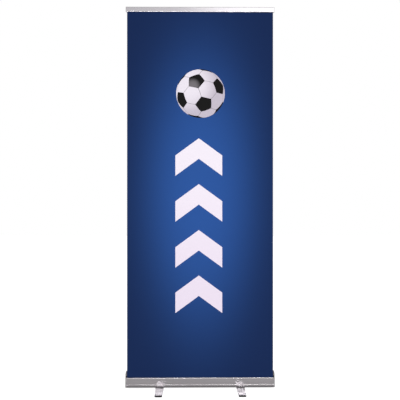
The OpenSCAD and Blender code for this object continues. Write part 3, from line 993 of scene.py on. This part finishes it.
# Solvent print under a matt laminate: a soft glow, faint passes of the print head, fine laminate grain
def filmPrint():
    material, maker, shader = newMaterial("bannerPrint", {"Specular IOR Level": 0.015, "Metallic": 0.0})
    uv, u, v = printUv(maker)
    x = (u - 0.5) * film["width"] - printTones["glowCentre"][0]
    z = v * film["height"] + (filmLow[2] - printTones["glowCentre"][1])
    spread = (x / printTones["glowSize"][0]) ** 2.0 + (z / printTones["glowSize"][1]) ** 2.0
    glow = math.e ** (-1.0 * spread ** printTones["glowFall"])
    passes = maker.noise(maker.stretch(uv, (8.0, 2600.0, 0.0)), 1.0, 1.0)
    specks = maker.noise(maker.stretch(uv, (800.0, 2050.0, 0.0)), 1.0)
    glowing = maker.mix(glow, ink(printTones["edge"]), ink(printTones["middle"]))
    wear = maker.shades(0.6 * passes + 0.4 * specks, 0.3, 0.7, (1.0, 1.0, 1.0), 0.955, 1.0)
    colour = maker.mix(1.0, glowing, wear, "MULTIPLY")
    dress(maker, shader, colour, 0.58 + 0.10 * (specks - 0.5), maker.bump(specks, 0.06, grainHeight))
    return material


def filmBacking(name, colour):
    material, maker, shader = newMaterial(name, {"Specular IOR Level": 0.3})
    grain = maker.noise(maker.point(), 900.0)
    cloud = maker.noise(maker.point(), 6.0)
    shade = maker.shades(0.5 * grain + 0.5 * cloud, 0.3, 0.7, colour, 0.95, 1.04)
    dress(maker, shader, shade, 0.5 + 0.08 * (grain - 0.5), maker.bump(grain, 0.08, grainHeight))
    return material


bannerPrint = filmPrint()
backLayer = filmBacking("filmBack", (0.58, 0.59, 0.62))
edgeLayer = filmBacking("filmEdge", (0.86, 0.86, 0.88))
filmPiece = filmGrid("bannerFilm")
for material in (bannerPrint, backLayer, edgeLayer):
    filmPiece.data.materials.append(material)
addFilmUv(filmPiece, (filmLow[0], filmLow[2]), (filmHigh[0], filmHigh[2]))
finishPiece(filmPiece, None, "cassette", ["banner_sheet"])

filmPieces = [filmPiece]


def printedShape(name, outlines, materials, frameLow, frameHigh):
    # flat ink shapes laid on the film: outlines are (points, material index, extra height)
    shape = bmesh.new()
    for points, which, extra in outlines:
        layer = bmesh.new()
        corners = [layer.verts.new((x, 0.0, z)) for x, z in points]
        layer.faces.new(corners)
        xs, zs = [p[0] for p in points], [p[1] for p in points]
        for axis, low, high in ((0, min(xs), max(xs)), (2, min(zs), max(zs))):
            count = int((high - low) / film["printCell"])
            for k in range(1, count + 1):
                place, normal = [0.0, 0.0, 0.0], [0.0, 0.0, 0.0]
                place[axis] = low + k * (high - low) / (count + 1)
                normal[axis] = 1.0
                everything = layer.verts[:] + layer.edges[:] + layer.faces[:]
                bmesh.ops.bisect_plane(layer, geom=everything, plane_co=place, plane_no=normal)
        bmesh.ops.triangulate(layer, faces=layer.faces[:])
        layer.verts.index_update()
        tops, foots = ([shape.verts.new(filmPlace(v.co.x, v.co.z, forward)) for v in layer.verts]
                       for forward in (film["printRaise"] + extra, -film["printSink"]))
        for face in layer.faces:
            order = [v.index for v in face.verts]
            shape.faces.new([tops[k] for k in order]).material_index = which
            shape.faces.new([foots[k] for k in reversed(order)]).material_index = which
        for edge in layer.edges:
            if edge.is_boundary:
                a, b = edge.verts[0].index, edge.verts[1].index
                shape.faces.new((tops[a], tops[b], foots[b], foots[a])).material_index = which
        layer.free()
    made = newObject(name, shape)
    for material in materials:
        made.data.materials.append(material)
    addFilmUv(made, frameLow, frameHigh)
    finishPiece(made, None, "cassette")
    filmPieces.append(made)


# Ink with a fine dot screen. shade fades to another tone up its own map, glint is a soft printed highlight
def inkMaterial(name, colour, screen, shade=None, glint=None):
    material, maker, shader = newMaterial(name, {"Specular IOR Level": 0.03})
    uv, u, v = printUv(maker)
    dots = maker.node("ShaderNodeTexVoronoi", None, {"Vector": uv, "Scale": screen}, "Distance")
    base = maker.mix(maker.smooth(dots, 0.1, 0.7), ink(colour, 0.98), ink(colour))
    if shade:
        factor = maker.smooth(v, shade["start"], shade["end"])
        base = maker.mix(factor, base, ink(shade["tone"]))
    if glint:
        du, dv = (u - glint["centre"][0]) / glint["size"], (v - glint["centre"][1]) / glint["size"]
        glow = maker.smooth(du * du + dv * dv, 1.0, 0.0)
        base = maker.mix(glow, base, ink(glint["tone"]))
    dress(maker, shader, base, 0.56 + 0.08 * (dots - 0.5), maker.bump(dots, 0.04, grainHeight))
    return material


print("ball print")
ball = {
    "centre": (2 * mm, 1622 * mm),
    "radius": 133.4 * mm,
    "firstPanel": (-0.195, 0.535, 0.82),    # toward the viewer is the third number
    "secondPanel": (0.156, -0.463, 0.872),
    "panelShare": 0.355,                    # how far a dark panel reaches along a seam
    "seam": 2.0 * mm,
    "near": 1.1,                            # two panels closer than this are neighbours
    "steps": 8,
}


def icosahedron(first, second):
    # twelve corners: one along first, one near second, the rest by symmetry
    top = Vector(first).normalized()
    side = Vector(second)
    side = (side - top * side.dot(top)).normalized()
    other = top.cross(side)
    tilt = math.atan(2.0)
    corners = [top]
    for k in range(5):
        angle = 2 * math.pi * k / 5
        level = side * math.cos(angle) + other * math.sin(angle)
        corners.append(top * math.cos(tilt) + level * math.sin(tilt))
    return corners + [-c for c in corners]


def greatArc(a, b, steps):
    # short stretch of a great circle, kept on the near half of the ball
    points = []
    for k in range(steps + 1):
        p = a.lerp(b, k / steps).normalized()
        if p.z < 0:
            p = Vector((p.x, p.y, 0.0)).normalized()
        points.append(p)
    return points


def ballPoint(p):
    return (ball["centre"][0] + ball["radius"] * p.x, ball["centre"][1] + ball["radius"] * p.y)


def cleanOutline(points):
    kept = []
    for p in points:
        if not kept or math.dist(p, kept[-1]) > 0.05 * mm:
            kept.append(p)
    if math.dist(kept[0], kept[-1]) <= 0.05 * mm:
        kept.pop()
    return kept


def areaOf(points):
    return abs(sum(p[0] * q[1] - q[0] * p[1] for p, q in zip(points, points[1:] + points[:1]))) / 2


def ballOutlines():
    corners = icosahedron(ball["firstPanel"], ball["secondPanel"])
    near, steps = ball["near"], ball["steps"]
    outlines = [(arc(ball["centre"], ball["radius"], 0, 360, 120)[:-1], 0, 0.0)]
    for a in corners:
        ring = [b for b in corners if 0.1 < (a - b).length < near]
        if len(ring) != 5:
            continue
        spare = Vector((0, 0, 1)) if abs(a.z) < 0.9 else Vector((1, 0, 0))
        east = a.cross(spare).normalized()
        north = a.cross(east)
        ring.sort(key=lambda b: math.atan2(b.dot(north), b.dot(east)))
        panel = [a.lerp(b, ball["panelShare"]).normalized() for b in ring]
        if max(p.z for p in panel) <= 0.02:
            continue
        outline = []
        for p, q in zip(panel, panel[1:] + panel[:1]):
            outline += [ballPoint(r) for r in greatArc(p, q, steps)[:-1]]
        outline = cleanOutline(outline)
        if areaOf(outline) > 4 * mm * mm:
            outlines.append((outline, 1, 0.05 * mm))
    for i, a in enumerate(corners):
        for b in corners[i + 1:]:
            if (a - b).length > near:
                continue
            start, end = (p.lerp(q, ball["panelShare"]).normalized() for p, q in ((a, b), (b, a)))
            if min(start.z, end.z) < 0.03:
                continue
            line = greatArc(start, end, steps)
            left, right = [], []
            for k, p in enumerate(line):
                ahead = line[min(k + 1, steps)] - line[max(k - 1, 0)]
                across = p.cross(ahead).normalized() * (ball["seam"] / 2 / ball["radius"])
                left.append(ballPoint(p + across))
                right.append(ballPoint(p - across))
            outlines.append((left + right[::-1], 2, 0.03 * mm))
    return outlines


ballLow, ballHigh = ([c + reach for c in ball["centre"]] for reach in (-ball["radius"], ball["radius"]))
whiteInk = inkMaterial("ballWhite", (0.60, 0.54, 0.63), 90.0,
                       glint={"centre": (0.25, 0.70), "size": 0.62, "tone": (0.90, 0.84, 0.93)})
blackInk = inkMaterial("ballBlack", (0.010, 0.0095, 0.0095), 90.0,
                       glint={"centre": (0.34, 0.655), "size": 0.18, "tone": (0.19, 0.175, 0.19)})
seamInk = inkMaterial("ballSeam", (0.19, 0.17, 0.19), 90.0)
printedShape("ballPrint", ballOutlines(), (whiteInk, blackInk, seamInk), ballLow, ballHigh)

print("chevron print")
chevron = {
    "centreX": -7.4 * mm,
    "width": 257 * mm,
    "levels": (1274 * mm, 1023 * mm, 771 * mm, 522 * mm),
    "height": 206 * mm,
    "stroke": 112 * mm,
    "colour": (0.955, 0.885, 0.98),
    "lowColour": (0.875, 0.775, 0.91),
}


def chevronOutline(level):
    x0, half = chevron["centreX"], chevron["width"] / 2
    z0 = level - chevron["height"] / 2
    rise = chevron["height"] - chevron["stroke"]
    return [(x0 - half, z0), (x0, z0 + rise), (x0 + half, z0), (x0 + half, z0 + chevron["stroke"]),
            (x0, z0 + chevron["height"]), (x0 - half, z0 + chevron["stroke"])]


chevronInk = inkMaterial("chevronWhite", chevron["colour"], 260.0,
                         shade={"start": 1.0, "end": 0.0, "tone": chevron["lowColour"]})
chevronLow = (chevron["centreX"] - chevron["width"] / 2, chevron["levels"][-1] - chevron["height"] / 2)
chevronHigh = (chevron["centreX"] + chevron["width"] / 2, chevron["levels"][0] + chevron["height"] / 2)
outlines = [(chevronOutline(level), 0, 0.0) for level in chevron["levels"]]
printedShape("chevronPrint", outlines, (chevronInk,), chevronLow, chevronHigh)

for piece in filmPieces:
    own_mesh(piece)

print("kept nodes")
keptNodes = (
    (zincSteel, ("foot_bolts", "foot_washers", "foot_nuts", "spring_mandrel", "idler_pin")),
    (blackPlastic, ("pole_foot_plug", "roller_spring_plug", "roller_idler_plug")),
    (rollerMetal, ("roller_tube",)),
    (tape, ("leader_strip",)),
    (backLayer, ("banner_windings",)),
    (nylon, ("middle_bush", "upper_bush")),
)
for material, names in keptNodes:
    for name in names:
        for holder in cadNodes[name].material_slots:
            holder.material = material

print("floor, light and camera")
studio = {
    "floorHalf": 14.0,
    "floorTone": (0.42, 0.42, 0.42),
    "floorGlow": 0.88,          # the floor is a lit table
    "horizon": 1.0,
    "zenith": 0.45,
}
shape = bmesh.new()
half = studio["floorHalf"]
shape.faces.new([shape.verts.new((x, y, 0)) for x, y in oblong((-half, -half), (half, half))])
floor = newObject("studioFloor", shape)
constants = {"Specular IOR Level": 0.1, "Emission Strength": studio["floorGlow"],
             "Emission Color": (1.0, 1.0, 1.0, 1.0)}
paint, maker, shader = newMaterial("paleFloor", constants)
mottle = maker.noise(maker.point(), 3.0, 3.0)
dress(maker, shader, maker.mix(mottle, tint(studio["floorTone"], 0.99), tint(studio["floorTone"], 1.01)), 0.8)
floor.data.materials.append(paint)

world = bpy.data.worlds.new("studio")
world.use_nodes = True
bpy.context.scene.world = world
maker = Maker(world.node_tree)
height = maker.axes(maker.node("ShaderNodeTexCoord", output="Generated"))[2]
sky = maker.shades(height, 0.35, 0.95, (1.0, 1.0, 1.0), studio["horizon"], studio["zenith"])
maker.feed(world.node_tree.nodes["Background"].inputs["Color"], sky)


def addAimed(name, data, place, aim):
    holder = bpy.data.objects.new(name, data)
    bpy.context.scene.collection.objects.link(holder)
    holder.location = place
    holder.rotation_euler = (Vector(aim) - Vector(place)).to_track_quat("-Z", "Y").to_euler()
    return holder


softboxes = {
    # name: (centre, aim, width, height, brightness)
    "highBox": ((1.52, -3.5, 3.1), (0.5, 0.0, 1.6), 2.9, 1.9, 1.47),
    "rightBox": ((1.35, -3.6, 1.62), (0.6, 0.0, 0.6), 1.5, 0.9, 2.0),
    "leftGlint": ((-0.41, -3.6, 1.0), (-0.25, 0.0, 0.0), 0.24, 0.26, 125.0),
    "rightGlint": ((0.50, -3.6, 1.0), (0.25, 0.0, 0.0), 0.24, 0.26, 125.0),
}
for name, (centre, aim, width, height, brightness) in softboxes.items():
    lamp = bpy.data.lights.new(name, "AREA")
    lamp.shape = "RECTANGLE"
    lamp.size, lamp.size_y = width, height
    lamp.energy = brightness * math.pi * width * height
    addAimed(name, lamp, centre, aim).visible_camera = False

view = {"place": (-0.04, -3.336, 1.0387), "aim": (-0.0008, -0.036, 1.0387), "lens": 54.18, "sensor": 36.0}
camera = bpy.data.cameras.new("camera")
camera.sensor_width = view["sensor"]
camera.lens = view["lens"]
bpy.context.scene.camera = addAimed("camera", camera, view["place"], view["aim"])
bpy.context.scene.view_settings.view_transform = "Standard"
